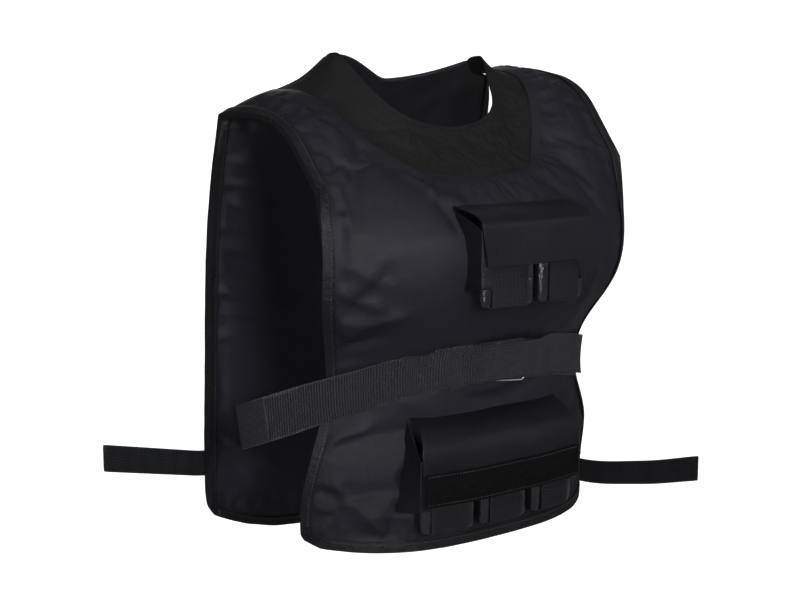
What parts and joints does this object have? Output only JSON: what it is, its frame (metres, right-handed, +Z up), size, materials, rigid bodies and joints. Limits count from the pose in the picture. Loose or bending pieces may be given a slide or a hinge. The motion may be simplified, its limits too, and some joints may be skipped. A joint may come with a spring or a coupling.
{
  "type": "weighted vest",
  "caption": "Padded weighted training vest, open at the sides, with flap pockets of rounded weights, a waist strap with a wire ring, side straps and a soft neck insert.",
  "frame": {"origin": "between the shoulders, level with the neck hole, where the vest rests on the shoulders", "axes": "+Z up, -Y out of the vest's front, +X towards the vest's own left side"},
  "size_m": [0.7024, 0.4305, 0.6554],
  "materials": {
    "shell_cloth": "woven nylon, slightly shiny",
    "binding": "woven binding tape, matt",
    "webbing": "ribbed webbing, matt",
    "hook_tape": "hook tape, matt",
    "jersey": "soft knit, matt",
    "weight_skin": "glossy smooth skin over the filling",
    "ring_steel": "polished wire"
  },
  "bodies": {
    "root": {"front_panel": "shell_cloth", "back_panel": "shell_cloth", "front_binding": "binding", "back_binding": "binding", "neck_insert": "jersey", "neck_rim": "jersey", "chest_pouch": "shell_cloth", "chest_flap": "shell_cloth", "chest_weight_1": "weight_skin", "chest_sling_1": "webbing", "chest_weight_2": "weight_skin", "chest_sling_2": "webbing", "lower_pouch": "shell_cloth", "lower_flap": "shell_cloth", "lower_weight_1": "weight_skin", "lower_sling_1": "webbing", "lower_weight_2": "weight_skin", "lower_sling_2": "webbing", "lower_weight_3": "weight_skin", "lower_sling_3": "webbing", "lower_hook_strip": "hook_tape", "waist_strap": "webbing", "strap_tip_patch": "webbing", "strap_base": "webbing", "strap_ring": "ring_steel", "ring_keeper": "webbing", "side_strap_right": "webbing", "side_strap_left": "webbing"}
  },
  "joints": []
}
